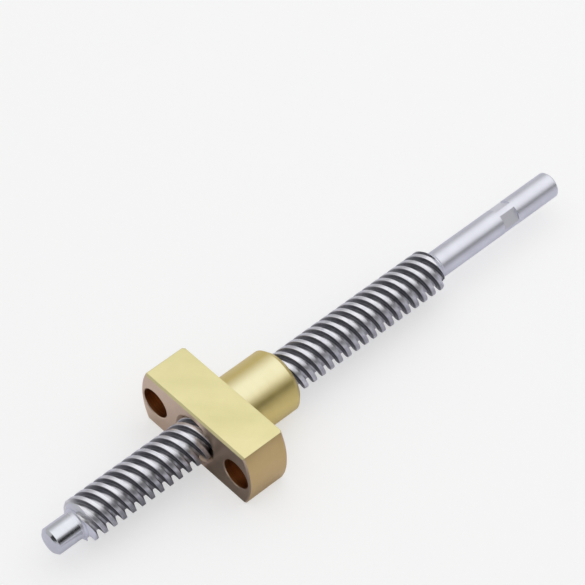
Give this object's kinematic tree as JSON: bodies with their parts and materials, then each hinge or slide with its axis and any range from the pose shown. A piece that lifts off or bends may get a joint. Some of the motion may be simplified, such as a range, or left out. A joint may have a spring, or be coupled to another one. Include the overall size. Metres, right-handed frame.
{
  "type": "lead screw with flange nut",
  "caption": "Trapezoidal lead screw with a plain journal, a drive shaft with wrench flats, and a brass flange nut that travels along the thread as the screw turns.",
  "frame": {"origin": "on the screw axis at the bearing seat, where the support journal ends at the screw's collar", "axes": "+X along the screw axis towards the drive end, +Z normal to the two flats of the nut's flange"},
  "size_m": [0.115, 0.0272, 0.012],
  "materials": {
    "ground_steel": "polished",
    "rolled_steel": "bright rolled",
    "brass": "satin machined"
  },
  "bodies": {
    "bearing_end": {"support_journal": "ground_steel"},
    "screw": {"lead_screw": "rolled_steel"},
    "nut": {"flange_nut": "brass"}
  },
  "joints": [
    {"name": "screw_spin", "type": "hinge", "parent": "bearing_end", "child": "screw", "pos_m": [0, 0, 0], "axis": [1, 0, 0], "range_deg": [-1575, 1080]},
    {"name": "nut_travel", "type": "slide", "parent": "bearing_end", "child": "nut", "axis": [1, 0, 0], "range_m": [-0.0241, 0.0351]}
  ],
  "couplings": [
    {"joint": "nut_travel", "follows": "screw_spin", "m_per_rad": -0.0012732}
  ]
}
